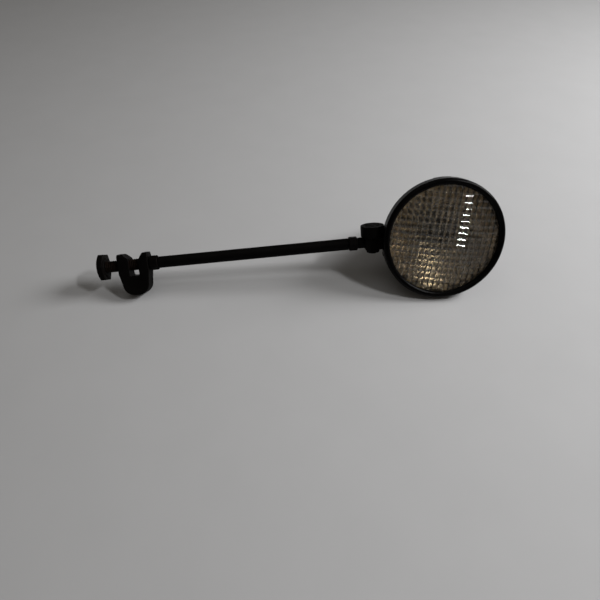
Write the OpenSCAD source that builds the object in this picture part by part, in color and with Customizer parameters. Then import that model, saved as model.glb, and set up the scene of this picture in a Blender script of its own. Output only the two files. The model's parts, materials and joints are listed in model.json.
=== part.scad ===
// Tractor lamp on a clamp-on arm, lying on its rim, its bucket and its clamp.
// Millimetres. X runs along the arm to the lamp, Z is up from the floor.

/* [Clamp] */
// Clear width between the two ears
slot_w = 10.5; // [9:0.1:14]
// Thickness of the ear that holds the arm
ear_t = 10.6; // [9.5:0.1:13]
// Thickness of the ear that carries the screw
screw_ear_t = 12.1; // [11:0.1:14]
// Depth of the clamp from face to face
clamp_depth = 18; // [16:0.5:22]
// Height of the ear tops above the screw
ear_rise = 12.6; // [10:0.1:16]
// Depth of the slot floor below the screw
slot_drop = 12; // [10:0.1:16]
// Depth of the clamp's underside below the screw
clamp_drop = 33.4; // [28:0.1:40]
// Radius of the clamp's two lower corners
clamp_corner = 13; // [8:0.5:13.5]
// Radius of the slot's inner corners
slot_corner = 2; // [1:0.5:4]
// Rounding of the ear tops from face to face
ear_round = 4; // [2:0.5:8]
// Width of the bevel on the inner edge of the screw's ear
screw_bevel_w = 6.2; // [3:0.1:7]
// Height of the bevel on the inner edge of the screw's ear
screw_bevel_h = 5.6; // [3:0.1:5.8]
// Width of the bevel on the inner edge of the arm's ear
arm_bevel_w = 5.1; // [3:0.1:6]
// Height of the bevel on the inner edge of the arm's ear
arm_bevel_h = 8.5; // [4:0.1:9]
// Narrowing of the clamp's screw side towards its underside
screw_side_in = 2.9; // [1:0.1:4]
// Narrowing of the clamp's arm side towards its underside
arm_side_in = 1.6; // [0.5:0.1:2.5]
// Depth below the screw at which the narrowing begins
waist_drop = 8.6; // [8.4:0.1:12]
// Rounding of the long edges under the clamp
clamp_edge = 3; // [1:0.5:5]
// Roll of the clamp back from upright, as it lies
clamp_roll = 38; // [30:1:44]
// Metal left between the arm's end and the fixed jaw
jaw_wall = 2; // [1.5:0.1:3]

/* [Clamp screw] */
// Diameter of the clamp screw
screw_d = 12.7; // [11:0.1:13]
// Bare screw between the clamp and the hub of its head
screw_show = 14.2; // [10:0.1:16]
// Size of the six-sided head across its corners
knob_corners = 32.2; // [29:0.1:34]
// Thickness of the head
knob_t = 6; // [5:0.1:9]
// Diameter of the hub on the inner side of the head
hub_d = 20; // [17:0.1:22]
// Height of the hub
hub_t = 0.8; // [0.4:0.1:2]
// Metal left over the end of the screw in the head
knob_wall = 1.6; // [1:0.1:3]
// Turn of the head about the screw
knob_turn = 18; // [0:1:60]
// Chamfer at the screw's point
screw_chamfer = 0.8; // [0.4:0.1:1.2]

/* [Arm] */
// Diameter of the arm between its lock nuts
arm_d = 12.7; // [12:0.1:13.5]
// Diameter of the arm's two turned-down ends
thread_d = 9.5; // [8:0.1:9.8]
// Bare arm between the two lock nuts
arm_span = 210.9; // [190:0.1:230]
// Size of the lock nuts across their flats
jam_flats = 14.3; // [13.6:0.1:16]
// Length of the lock nuts
jam_t = 9.6; // [8:0.1:11]
// Length of the eye's neck towards the second lock nut
neck_len = 4.4; // [2:0.1:8]
// Diameter of the eye's neck
neck_d = 11.2; // [10.8:0.1:12]
// Chamfer at the arm's ends and shoulders
arm_chamfer = 0.8; // [0.4:0.1:1.2]

/* [Knuckle] */
// Diameter of the knuckle's upper half, within which the block turns
eye_d = 25.6; // [25.5:0.1:26]
// Width of the eye's square block
eye_w = 18; // [16:0.1:18]
// Depth of the lower half below the arm's axis
eye_low = 7; // [6.6:0.1:9]
// Height of the joint face above the arm's axis
eye_split = 6.5; // [6.4:0.1:8]
// Height of the knuckle's top above the arm's axis
eye_top = 18.6; // [17:0.1:22]
// Diameter of the pivot bolt
bolt_d = 8; // [6:0.1:8.4]
// Diameter of the pivot bolt's head
bolt_head_d = 15; // [12:0.1:16]
// Height of the pivot bolt's head
bolt_head_t = 4.6; // [3:0.1:6]
// Width of the driver slot in the pivot bolt
bolt_slot_w = 1.6; // [1:0.1:2]
// Depth of the driver slot in the pivot bolt
bolt_slot_t = 1.8; // [1:0.1:2.4]
// Size of the pivot nut across its flats
pivot_flats = 12.7; // [12.2:0.1:14]
// Height of the pivot nut
pivot_nut_t = 3.6; // [3:0.1:6]
// Diameter of the washer under the pivot nut
washer_d = 13.4; // [12.6:0.1:16]
// Thickness of the washer under the pivot nut
washer_t = 1; // [0.8:0.1:1.6]
// Bolt end standing out of the pivot nut
bolt_proud = 0.9; // [0.4:0.1:2]

/* [Bracket] */
// Room between the knuckle and the bucket's side
knuckle_gap = 2.6; // [2.4:0.1:6]
// Thickness of the saddle on the bucket
saddle_t = 3; // [2.4:0.1:3.4]
// Lower end of the saddle below the arm's axis
saddle_low = 20; // [18:0.5:24]
// Upper end of the saddle above the arm's axis
saddle_high = 12.5; // [11:0.1:14]
// Length of the saddle along the lamp's axis
saddle_len = 26; // [25:0.5:28]
// Corner radius of the saddle
saddle_corner = 5; // [3:0.5:6]
// Width of the web between the knuckle and the saddle
web_w = 14; // [12:0.5:15]
// Rivet diameter
rivet_d = 4.8; // [4:0.1:5.2]
// Rivet head diameter
rivet_head_d = 8.4; // [7:0.1:9]
// Rivet head height
rivet_head_t = 2; // [1.6:0.1:2.6]
// Drop of the two lower rivets below the arm's axis
rivet_drop = 13.5; // [12:0.5:14]
// Spacing of the two lower rivets along the lamp's axis
rivet_pitch = 12.5; // [11:0.5:14]

/* [Rim] */
// Outer diameter of the rim
rim_d = 130; // [124:1:136]
// Depth of the rim from front to back
rim_depth = 13; // [12:0.1:15]
// Width of the rim's rounded front
bead_w = 6.8; // [6:0.1:8]
// Thickness of the rim's sheet
rim_sheet = 1; // [0.8:0.1:1.2]
// Half angle of each of the three hooks behind the rim
hook_half = 8; // [5:1:14]
// Thickness of the hooks behind the rim
hook_t = 1; // [0.8:0.1:1.4]

/* [Glass] */
// Radius of the lens's front along its rows and columns
lens_curve = 300; // [290:5:400]
// Height of the lens's middle in front of the rim
lens_proud = 1.5; // [1.2:0.1:3]
// Thickness of the lens between the crests of its flutes
lens_t = 3.6; // [3.2:0.1:4.4]
// Thickness of the lens's plain edge
lens_edge_t = 3.2; // [3:0.1:3.4]
// Width of the lens's plain edge
lens_edge_w = 4.3; // [4:0.1:4.5]
// Gap round the lens inside the rim
lens_gap = 1.5; // [1:0.1:2]
// Spacing of the flutes in rows on the front of the lens
row_pitch = 6.6; // [5.5:0.1:8]
// Spacing of the flutes in columns on the back of the lens
column_pitch = 5.9; // [5:0.1:7]
// Radius of each flute in a row
row_r = 6.2; // [5.6:0.1:9]
// Radius of each flute in a column
column_r = 5.8; // [5:0.1:9]
// Turn of the flutes about the lamp's axis
flute_turn = -12; // [-20:1:20]
// Thickness of the gasket behind the lens
gasket_t = 2.2; // [2:0.1:2.6]

/* [Bucket] */
// Widest diameter of the bucket behind the rim
bowl_d = 124; // [118:1:126]
// Depth of the bucket's curve behind the rim
bowl_depth = 109; // [96:0.5:120]
// Fullness of the bucket's curve, from round to conical
bowl_power = 0.7; // [0.6:0.01:0.8]
// Radius at which the bucket's round nose begins
nose_r = 30; // [24:0.5:34]
// Sheet thickness of the bucket
bowl_sheet = 0.9; // [0.8:0.1:1.6]
// Width of the bucket's front flange
flange_w = 7; // [5:0.1:7.4]
// Gap between the bucket's collar and the rim
collar_gap = 0.5; // [0.3:0.1:0.8]
// Diameter of the flat at the back of the bucket
flat_d = 19; // [18:0.5:24]
// Distance of the arm's axis behind the front of the rim
arm_back = 23.4; // [23:0.1:24.5]

/* [Reflector and bulb] */
// Depth of the reflector's curve
mirror_depth = 44; // [40:0.5:46]
// Sheet thickness of the reflector
mirror_sheet = 0.7; // [0.5:0.1:0.9]
// Diameter of the reflector's flat middle
mirror_flat_d = 26; // [24:0.5:28]
// Outer diameter of the bulb socket
socket_d = 18; // [17.4:0.1:19]
// Wall of the bulb socket
socket_wall = 1.1; // [0.8:0.1:1.2]
// Length of the bulb socket
socket_len = 26; // [25:0.5:30]
// Socket length standing in front of the reflector's middle
socket_front = 5; // [3:0.5:6]
// Diameter of the bulb's brass cap
cap_d = 15.2; // [15:0.1:15.4]
// Length of the bulb's brass cap
cap_len = 19; // [18:0.5:20]
// Diameter of the bulb's glass
globe_d = 25; // [22:0.5:26]
// Wall of the bulb's glass
globe_wall = 0.8; // [0.6:0.1:1.2]
// Distance from the cap to the middle of the bulb's glass
globe_reach = 14; // [13.5:0.5:16]
// Diameter of the filament's two supports
support_d = 0.8; // [0.6:0.1:1]
// Spacing of the filament's two supports
support_gap = 6; // [5:0.5:8]
// Diameter of the filament's coil
coil_d = 1.2; // [1:0.1:1.6]
// Thickness of the insulating disc in the socket
disc_t = 2.5; // [2:0.1:3]
// Diameter of the contact stud
stud_d = 3; // [2.4:0.1:3.6]
// Size of the nut on the contact stud across its flats
terminal_flats = 7; // [6:0.1:8]
// Height of the nut on the contact stud
terminal_t = 2.6; // [2:0.1:3]

/* [Cable inlet] */
// Diameter of the hole for the lead
inlet_d = 6.4; // [5:0.1:7]
// Diameter of the grommet's waist
waist_d = 11; // [10:0.1:12]
// Diameter of the grommet's two lips
lip_d = 17; // [15:0.1:17.5]
// Thickness of each lip
lip_t = 2; // [1.6:0.1:3]

/* [Fits] */
// Running clearance at a turning or sliding fit, measured on the radius
run_gap = 0.05; // [0.02:0.01:0.1]
// Clearance between pieces that stay together
seat_gap = 0.05; // [0.02:0.01:0.1]
// Space between pieces that turn past each other
turn_gap = 0.3; // [0.3:0.05:0.5]

/* [Hidden] */
$fa = 4;
$fs = 0.6;
past = 1;
lens_play = 0.2;
collar_over = 0.5;
hook_play = 0.2;
mirror_gap = 1.3;
bolt_web = 1.5;
saddle_play = 1.5;
cap_set = 1;
button_t = 1.4;
disc_play = 1.2;
stud_tail = 5;
neck_in = 1;
lip_in = 1.5;
slot_play = 0.2;
nut_ease = 0.2;
knob_ease = 0.3;
rivet_seat = 0.4;
rivet_buck = 0.3;
rivet_shift = 2.5;
rivet_edge = 5.5;
jam_turn = 20;
flange_in = 1.5;
rim_r = rim_d / 2;
bowl_r = bowl_d / 2;
screw_r = screw_d / 2;
arm_r = arm_d / 2;
thread_r = thread_d / 2;
eye_r = eye_d / 2;
bolt_r = bolt_d / 2;
knob_r = knob_corners / 2;
knob_flats = knob_corners * cos(30);
knob_face_r = knob_flats / 2 - knob_ease;
clamp_w = ear_t + slot_w + screw_ear_t;

// Stations along the arm, from the clamp's right face
jaw_x = -ear_t;
moving_jaw_x = -ear_t - slot_w;
screw_tip_x = jaw_x - turn_gap;
foot_left_x = screw_side_in - clamp_w;
foot_right_x = -arm_side_in;
hub_x = -clamp_w - screw_show;
knob_x = hub_x - hub_t - knob_t;
screw_end_x = knob_x + knob_wall;
jam2_x = jam_t + arm_span;
shoulder_x = turn_gap + jam_t + seat_gap;
shoulder_end_x = jam2_x - seat_gap;
eye_x = jam2_x + jam_t + neck_len + eye_r;
arm_start_x = -ear_t + jaw_wall + turn_gap;
arm_end_x = eye_x - bolt_r - bolt_web;
knuckle_off = bowl_at(arm_back) + knuckle_gap + eye_r;
lamp_x = eye_x + knuckle_off;

// Depths along the lamp's axis, from the front of the rim
bead_r = bead_w / 2;
lens_front = bead_r + lens_play;
lens_back = lens_front + lens_edge_t;
gasket_back = lens_back + gasket_t;
mirror_back = gasket_back + mirror_sheet;
collar_back = rim_depth + collar_over;
collar_r = rim_r - rim_sheet - collar_gap;
lens_r = rim_r - rim_sheet - lens_gap;
lens_clear_r = lens_r - lens_edge_w;
flat_r = flat_d / 2;
nose_ball = nose_r * sqrt(1 + pow(curve_lean(nose_r), 2));
nose_mid = curve_t(nose_r) - nose_r * curve_lean(nose_r);
flat_back = bowl_t(flat_r);
mirror_r = collar_r - flange_w - mirror_gap;
mirror_flat_r = mirror_flat_d / 2;
mirror_flat = gasket_back + mirror_depth * (1 - pow(mirror_flat_r / mirror_r, 2));
socket_r = socket_d / 2;
socket_start = mirror_flat - socket_front;
socket_end = socket_start + socket_len;
cap_start = socket_start + cap_set;
cap_end = cap_start + cap_len;
disc_front = cap_end + button_t + disc_play;
globe_mid = cap_start - globe_reach;
focus = gasket_back + mirror_depth - pow(mirror_r, 2) / (4 * mirror_depth);
stud_end = socket_end + stud_tail;
grommet_len = 2 * lip_t + bowl_sheet + 2 * seat_gap;
hook_back = collar_back + hook_play + hook_t;
hook_gap = 0.6;
saddle_front = rim_depth + saddle_play;
bolt_low = eye_low + washer_t + pivot_nut_t + bolt_proud;
lens_half = asin(lens_clear_r / lens_curve) + 2;
column_valley = column_r - sqrt(pow(column_r, 2) - pow(column_pitch / 2, 2));
pin_d = 2;
pin_t = (cap_start + cap_end) / 2;
pin_reach = socket_r - slot_play;

// How the lamp lies: rim and bucket set the lean, lamp and clamp set the slope
lean = atan(curve_lean(bowl_r * pow(rest_at(0.2, 0.8, 30), bowl_power)));
rim_sink = (arm_back - rim_depth) * sin(lean);
lamp_height = rim_r * cos(lean) - rim_sink;
clamp_height = (clamp_drop - clamp_edge) * cos(clamp_roll)
    + (clamp_depth / 2 - clamp_edge) * sin(clamp_roll) + clamp_edge;
clamp_foot_x = foot_left_x + clamp_corner;
slope = atan((lamp_height - clamp_height) / (lamp_x - clamp_foot_x));
rim_low = rim_r * sqrt(pow(sin(slope), 2) + pow(cos(lean) * cos(slope), 2)) - rim_sink * cos(slope);
lift = rim_low - lamp_x * sin(slope);
rim_right = lamp_x * cos(slope) - (arm_back - rim_depth) * sin(lean) * sin(slope)
    + rim_r * sqrt(pow(cos(slope), 2) + pow(cos(lean) * sin(slope), 2));
knob_left = knob_x * cos(slope) - knob_face_r * sin(slope);
front_y = -(arm_back - bead_r) * cos(lean) - (rim_r - bead_r) * sin(lean) - bead_r;
back_y = (flat_back + lip_t + seat_gap - arm_back) * cos(lean) + lip_d / 2 * sin(lean);
mid_x = (rim_right + knob_left) / 2;
mid_y = (front_y + back_y) / 2;

// Radius of the bucket's outside at a depth behind the rim's front
function bowl_at(t) = bowl_r * pow(1 - (t - rim_depth) / bowl_depth, bowl_power);
// Depth and slope of the bucket's long curve at a radius
function curve_t(r) = rim_depth + bowl_depth * (1 - pow(r / bowl_r, 1 / bowl_power));
function curve_lean(r) = bowl_r * bowl_power / bowl_depth * pow(r / bowl_r, (bowl_power - 1) / bowl_power);
// Depth at which the bucket's outside has a radius, its round nose included
function bowl_t(r) = r >= nose_r ? curve_t(r) : nose_mid + sqrt(pow(nose_ball, 2) - pow(r, 2));
// Slope of the bucket's outside towards its back at a radius
function bowl_lean(r) = r >= nose_r ? curve_lean(r) : sqrt(pow(nose_ball, 2) - pow(r, 2)) / r;
// Share of the bucket's depth behind the point where it rests with the rim's rear edge on one plane
function rest_at(lo, hi, n) =
    n == 0 ? (lo + hi) / 2
    : rest_gap((lo + hi) / 2) > 0 ? rest_at(lo, (lo + hi) / 2, n - 1)
    : rest_at((lo + hi) / 2, hi, n - 1);
function rest_gap(y) = rim_r - bowl_r * pow(y, bowl_power)
    - bowl_r * bowl_power * pow(y, bowl_power - 1) * (1 - y);
// Point of the bucket's curve, moved in by a thickness along its normal
function bowl_pt(r, inset) = [
    r - inset / sqrt(1 + pow(bowl_lean(r), 2)),
    -bowl_t(r) + inset * bowl_lean(r) / sqrt(1 + pow(bowl_lean(r), 2))
];
// Depth of the reflector's curve at a radius
function mirror_t(r) = gasket_back + mirror_depth * (1 - pow(r / mirror_r, 2));
function mirror_lean(r) = pow(mirror_r, 2) / (2 * mirror_depth * r);
function mirror_pt(r, out) = [
    r + out / sqrt(1 + pow(mirror_lean(r), 2)),
    -mirror_t(r) - out * mirror_lean(r) / sqrt(1 + pow(mirror_lean(r), 2))
];
bowl_steps = 22;
collar_at = bowl_at(collar_back);
bowl_rs = [for (i = [0:bowl_steps]) collar_at + (flat_r - collar_at) * i / bowl_steps];
mirror_steps = 16;
mirror_rs = [for (i = [0:mirror_steps]) mirror_r + (mirror_flat_r - mirror_r) * i / mirror_steps];

// The whole lamp as it lies, over the middle of its footprint
module lay_down() {
    translate([-mid_x, -mid_y, lift])
        rotate([0, -slope, 0])
            children();
}

// The lamp's own axes: its axis is Z, the front of the rim is at zero
module lamp_frame() {
    lay_down()
        translate([lamp_x, 0, 0])
            rotate([90 - lean, 0, 0])
                translate([0, 0, arm_back])
                    children();
}

// The knuckle's axes: its axis is Y, with the arm's axis crossing at zero
module knuckle_frame() {
    lamp_frame()
        translate([-knuckle_off, 0, -arm_back])
            children();
}

module clamp_frame() {
    lay_down()
        rotate([-clamp_roll, 0, 0])
            children();
}

// A round bar along X
module bar_x(x, len, r) {
    translate([x, 0, 0])
        rotate([0, 90, 0])
            cylinder(r = r, h = len);
}

// A round bar along Y
module bar_y(y, len, r) {
    translate([0, y, 0])
        rotate([-90, 0, 0])
            cylinder(r = r, h = len);
}

// A round bar along X with both ends chamfered
module chamfered_bar(x, len, r, c) {
    bar_x(x + c, len - 2 * c, r);
    translate([x, 0, 0])
        rotate([0, 90, 0])
            cylinder(r1 = r - c, r2 = r, h = c);
    translate([x + len - c, 0, 0])
        rotate([0, 90, 0])
            cylinder(r1 = r, r2 = r - c, h = c);
}

// A six-sided nut along Z with both faces chamfered and a bore
module nut(flats, t, bore_r) {
    corner_r = flats / 2 / cos(30);
    difference() {
        intersection() {
            cylinder(r = corner_r, h = t, $fn = 6);
            cylinder(r1 = flats / 2 - nut_ease, r2 = flats / 2 - nut_ease + 2 * t, h = t);
            cylinder(r1 = flats / 2 - nut_ease + 2 * t, r2 = flats / 2 - nut_ease, h = t);
        }
        translate([0, 0, -past])
            cylinder(r = bore_r, h = t + 2 * past);
    }
}

// A rectangle from zero upwards whose two lower corners are rounded
module round_bottom(w, h, r) {
    translate([0, r])
        square([w, h - r]);
    translate([r, 0])
        square([w - 2 * r, r]);
    translate([r, r])
        circle(r = r);
    translate([w - r, r])
        circle(r = r);
}

// A rectangle with four rounded corners
module round_plate(w, h, r) {
    translate([r, 0])
        square([w - 2 * r, h]);
    translate([0, r])
        square([w, h - 2 * r]);
    for (x = [r, w - r], y = [r, h - r])
        translate([x, y])
            circle(r = r);
}

// Front of the clamp: bevelled ears, slot and narrowed, rounded underside
module clamp_front() {
    difference() {
        union() {
            polygon([
                [-clamp_w, ear_rise], [-clamp_w, -waist_drop], [foot_left_x, clamp_corner - clamp_drop],
                [foot_right_x, clamp_corner - clamp_drop], [0, -waist_drop], [0, ear_rise]
            ]);
            translate([foot_left_x, -clamp_drop])
                round_bottom(foot_right_x - foot_left_x, clamp_drop - waist_drop, clamp_corner);
        }
        translate([moving_jaw_x, -slot_drop])
            round_bottom(slot_w, slot_drop + ear_rise + past, slot_corner);
        polygon([
            [moving_jaw_x - screw_bevel_w, ear_rise + past], [moving_jaw_x - screw_bevel_w, ear_rise],
            [moving_jaw_x, ear_rise - screw_bevel_h], [jaw_x, ear_rise - arm_bevel_h],
            [jaw_x + arm_bevel_w, ear_rise], [jaw_x + arm_bevel_w, ear_rise + past]
        ]);
    }
}

// Side of the clamp: rounded ear tops and eased lower edges
module clamp_side() {
    translate([-clamp_depth / 2, -clamp_drop])
        round_bottom(clamp_depth, clamp_drop, clamp_edge);
    translate([clamp_depth / 2, ear_rise])
        rotate(180)
            round_bottom(clamp_depth, ear_rise, ear_round);
}

module clamp_body() {
    color("#2b2725")
    clamp_frame()
        difference() {
            intersection() {
                rotate([90, 0, 0])
                    linear_extrude(clamp_depth + 2 * past, center = true)
                        clamp_front();
                translate([-clamp_w - past, 0, 0])
                    rotate([90, 0, 90])
                        linear_extrude(clamp_w + 2 * past)
                            clamp_side();
            }
            bar_x(-clamp_w - past, screw_ear_t + 2 * past, screw_r + run_gap);
            bar_x(jaw_x + jaw_wall, ear_t - jaw_wall + past, thread_r + run_gap);
        }
}

module screw_shank() {
    color("#5a4030")
    lay_down()
        chamfered_bar(screw_end_x, screw_tip_x - screw_end_x, screw_r, screw_chamfer);
}

module screw_knob() {
    color("#332c29")
    lay_down()
        difference() {
            union() {
                intersection() {
                    translate([knob_x, 0, 0])
                        rotate([knob_turn, 0, 0])
                            rotate([0, 90, 0])
                                cylinder(r = knob_r, h = knob_t, $fn = 6);
                    translate([knob_x, 0, 0])
                        rotate([0, 90, 0])
                            cylinder(r1 = knob_face_r, r2 = knob_face_r + 2 * knob_t, h = knob_t);
                }
                bar_x(hub_x - hub_t, hub_t, hub_d / 2);
            }
            bar_x(screw_end_x - turn_gap, hub_x - screw_end_x + turn_gap + past, screw_r + run_gap);
        }
}

module arm_rod() {
    color("#2c2826")
    lay_down() {
        chamfered_bar(arm_start_x, arm_end_x - arm_start_x, thread_r, arm_chamfer);
        chamfered_bar(shoulder_x, shoulder_end_x - shoulder_x, arm_r, arm_chamfer);
    }
}

module clamp_jam_nut() {
    color("#35302c")
    lay_down()
        translate([turn_gap, 0, 0])
            rotate([jam_turn, 0, 0])
                rotate([0, 90, 0])
                    nut(jam_flats, jam_t, thread_r + seat_gap);
}

module knuckle_jam_nut() {
    color("#35302c")
    lay_down()
        translate([jam2_x, 0, 0])
            rotate([0, 90, 0])
                nut(jam_flats, jam_t, thread_r + seat_gap);
}

module arm_eye() {
    color("#2a2624")
    knuckle_frame()
        difference() {
            union() {
                translate([-eye_w / 2, -eye_low, -eye_w / 2])
                    cube([eye_w, eye_low + eye_split, eye_w]);
                bar_x(turn_gap - eye_r - neck_len, eye_r + neck_len - turn_gap, neck_d / 2);
            }
            bar_y(-eye_low - past, eye_low + eye_split + 2 * past, bolt_r + run_gap);
            bar_x(-eye_r - neck_len - past, eye_r + neck_len + past - bolt_r - bolt_web + turn_gap,
                thread_r + run_gap);
        }
}

module pivot_bolt() {
    color("#3a3330")
    knuckle_frame()
        difference() {
            union() {
                bar_y(eye_top - bolt_head_t, bolt_head_t, bolt_head_d / 2);
                bar_y(-bolt_low, bolt_low + eye_top - bolt_head_t, bolt_r);
            }
            translate([-bolt_head_d, eye_top - bolt_slot_t, -bolt_slot_w / 2])
                cube([2 * bolt_head_d, bolt_slot_t + past, bolt_slot_w]);
        }
}

module pivot_washer() {
    color("#4a423c")
    knuckle_frame()
        difference() {
            bar_y(-eye_low - washer_t, washer_t, washer_d / 2);
            bar_y(-eye_low - washer_t - past, washer_t + 2 * past, bolt_r + seat_gap);
        }
}

module pivot_nut() {
    color("#3a3330")
    knuckle_frame()
        translate([0, -eye_low - washer_t, 0])
            rotate([90, 0, 0])
                nut(pivot_flats, pivot_nut_t, bolt_r + seat_gap);
}

// The bucket's outside as a solid, grown by a gap
module bowl_solid(grow) {
    rotate_extrude()
        polygon(concat([[0, -bowl_t(flat_r) - grow]], [[0, -rim_depth]],
            [[bowl_r + grow, -rim_depth]], [for (r = bowl_rs) bowl_pt(r, -grow)]));
}

// Puts its children on the bucket's skin, looking along the outward normal
module on_bowl(y, t) {
    rotate([0, 0, 180 - asin(y / bowl_at(t))])
        translate([bowl_at(t), 0, -t])
            rotate([0, 90 + atan(bowl_lean(bowl_at(t))), 0])
                children();
}

// Places of the rivets: height on the saddle and depth along the lamp's axis
rivet_at = [
    [-rivet_drop, arm_back - rivet_pitch / 2 + rivet_shift],
    [-rivet_drop, arm_back + rivet_pitch / 2 + rivet_shift],
    [saddle_high - rivet_edge, saddle_front + saddle_len - rivet_edge]
];

module lamp_bracket() {
    color("#2a2624")
    lamp_frame()
        difference() {
            union() {
                translate([-knuckle_off, 0, -arm_back])
                    bar_y(eye_split + turn_gap, eye_top - eye_split - turn_gap, eye_r);
                translate([-knuckle_off, eye_split + turn_gap, -arm_back - web_w / 2])
                    cube([knuckle_off - bowl_r / 2, saddle_high - eye_split - turn_gap, web_w]);
                intersection() {
                    bowl_solid(saddle_t + seat_gap);
                    translate([-rim_r - eye_r, -saddle_low, -saddle_front])
                        rotate([0, 90, 0])
                            linear_extrude(rim_r)
                                round_plate(saddle_len, saddle_low + saddle_high, saddle_corner);
                }
            }
            bowl_solid(seat_gap);
            translate([-knuckle_off, 0, -arm_back]) {
                bar_y(-saddle_low - past, saddle_low + past + eye_split + turn_gap, eye_r + 2 * turn_gap);
                bar_y(0, eye_top + past, bolt_r + run_gap);
                bar_y(eye_top - bolt_head_t - turn_gap, bolt_head_t + past + turn_gap,
                    bolt_head_d / 2 + turn_gap);
            }
            for (p = rivet_at)
                on_bowl(p[0], p[1])
                    translate([0, 0, -rivet_d])
                        cylinder(r = rivet_d / 2 + seat_gap, h = 3 * rivet_d);
        }
}

module bracket_rivets() {
    color("#3b3431")
    lamp_frame()
        for (p = rivet_at)
            on_bowl(p[0], p[1]) {
                rivet_in = bowl_sheet + rivet_head_t;
                rivet_out = saddle_t + rivet_seat;
                translate([0, 0, -rivet_in])
                    cylinder(r = rivet_d / 2, h = rivet_in + rivet_out);
                translate([0, 0, rivet_out])
                    cylinder(r1 = rivet_head_d / 2, r2 = rivet_d / 2, h = rivet_head_t);
                translate([0, 0, -rivet_in])
                    cylinder(r = rivet_head_d / 2, h = rivet_head_t - rivet_buck);
            }
}

module housing_bowl() {
    color("#2a2624")
    lamp_frame()
        difference() {
            rotate_extrude()
                polygon(concat(
                    [[collar_r - flange_w, -mirror_back], [collar_r, -mirror_back], [collar_r, -collar_back]],
                    [for (r = bowl_rs) bowl_pt(r, 0)],
                    [[waist_d / 2, -flat_back], [waist_d / 2, -flat_back + bowl_sheet]],
                    [for (i = [bowl_steps:-1:0]) bowl_pt(bowl_rs[i], bowl_sheet)],
                    [[collar_r - bowl_sheet, -collar_back + bowl_sheet],
                     [collar_r - bowl_sheet, -mirror_back - bowl_sheet],
                     [collar_r - flange_w, -mirror_back - bowl_sheet]]));
            for (p = rivet_at)
                on_bowl(p[0], p[1])
                    translate([0, 0, -rivet_d])
                        cylinder(r = rivet_d / 2 + seat_gap, h = 2 * rivet_d);
        }
}

module retaining_rim() {
    color("#1f1d1d")
    lamp_frame()
        difference() {
            rotate_extrude() {
                intersection() {
                    translate([rim_r - bead_r, -bead_r])
                        difference() {
                            circle(r = bead_r);
                            circle(r = bead_r - rim_sheet);
                        }
                    translate([rim_r - bead_w - past, -bead_r])
                        square([bead_w + 2 * past, bead_w]);
                }
                translate([rim_r - rim_sheet, -hook_back])
                    square([rim_sheet, hook_back - bead_r]);
                translate([collar_at + hook_gap, -hook_back])
                    square([rim_r - collar_at - hook_gap, hook_t]);
            }
            for (a = [90, 210, 330])
                rotate([0, 0, a + hook_half])
                    rotate_extrude(angle = 120 - 2 * hook_half)
                        translate([bowl_r - bead_w, -hook_back - past])
                            square([2 * bead_w, hook_back + past - rim_depth]);
        }
}

// A flat ring round the lamp's axis between two depths
module ring(r_in, r_out, front, back) {
    rotate_extrude()
        translate([r_in, -back])
            square([r_out - r_in, back - front]);
}

module lens_gasket() {
    color("#1a1a1a")
    lamp_frame()
        ring(lens_clear_r + hook_gap, lens_r, lens_back, gasket_back);
}

// Flutes in rows on the front: convex ribs that follow the curve of the glass both ways
module row_block() {
    rows = floor(lens_clear_r / row_pitch) + 1;
    crest = lens_curve;
    translate([0, 0, lens_proud - crest])
        rotate([90, 0, 0])
            rotate([0, 0, 90 - lens_half])
                rotate_extrude(angle = 2 * lens_half) {
                    for (i = [-rows:rows]) {
                        row_mid = crest - row_r - pow(i * row_pitch, 2) / (2 * lens_curve);
                        translate([row_mid, i * row_pitch])
                            circle(r = row_r);
                        translate([crest - lens_curve / 4, i * row_pitch - (row_pitch + past) / 2])
                            square([row_mid - crest + lens_curve / 4, row_pitch + past]);
                    }
                }
}

// Space behind the glass, with the columns of flutes standing into it
module column_space() {
    columns = floor(lens_clear_r / column_pitch) + 1;
    crest = lens_curve - lens_t;
    translate([0, 0, lens_proud - lens_curve])
        rotate([0, 0, 90])
            rotate([90, 0, 0])
                rotate([0, 0, 90 - lens_half - 2])
                    rotate_extrude(angle = 2 * lens_half + 4)
                        difference() {
                            translate([crest - lens_curve / 3, -lens_r - past])
                                square([lens_curve / 3 + row_r, 2 * lens_r + 2 * past]);
                            for (i = [-columns:columns])
                                translate([
                                    crest + column_r - pow(i * column_pitch, 2) / (2 * lens_curve),
                                    i * column_pitch
                                ])
                                    circle(r = column_r);
                            translate([crest + column_valley + past, -lens_r - 2 * past])
                                square([lens_curve, 2 * lens_r + 4 * past]);
                        }
}

module lens() {
    color("#b9b4ac")
    lamp_frame() {
        ring(lens_clear_r - lens_play, lens_r, lens_front, lens_back);
        difference() {
            intersection() {
                translate([0, 0, -lens_curve / 10])
                    cylinder(r = lens_clear_r, h = lens_curve / 5);
                rotate([0, 0, flute_turn])
                    row_block();
            }
            rotate([0, 0, flute_turn])
                column_space();
        }
    }
}

module reflector() {
    color("#c9c6bf")
    lamp_frame()
        rotate_extrude()
            polygon(concat(
                [[lens_r, -gasket_back]],
                [for (r = mirror_rs) mirror_pt(r, 0)],
                [[socket_r + seat_gap, -mirror_flat], [socket_r + seat_gap, -mirror_flat - mirror_sheet]],
                [for (i = [mirror_steps:-1:1]) mirror_pt(mirror_rs[i], mirror_sheet)],
                [[mirror_r + mirror_sheet, -mirror_back], [lens_r, -mirror_back]]));
}

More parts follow.
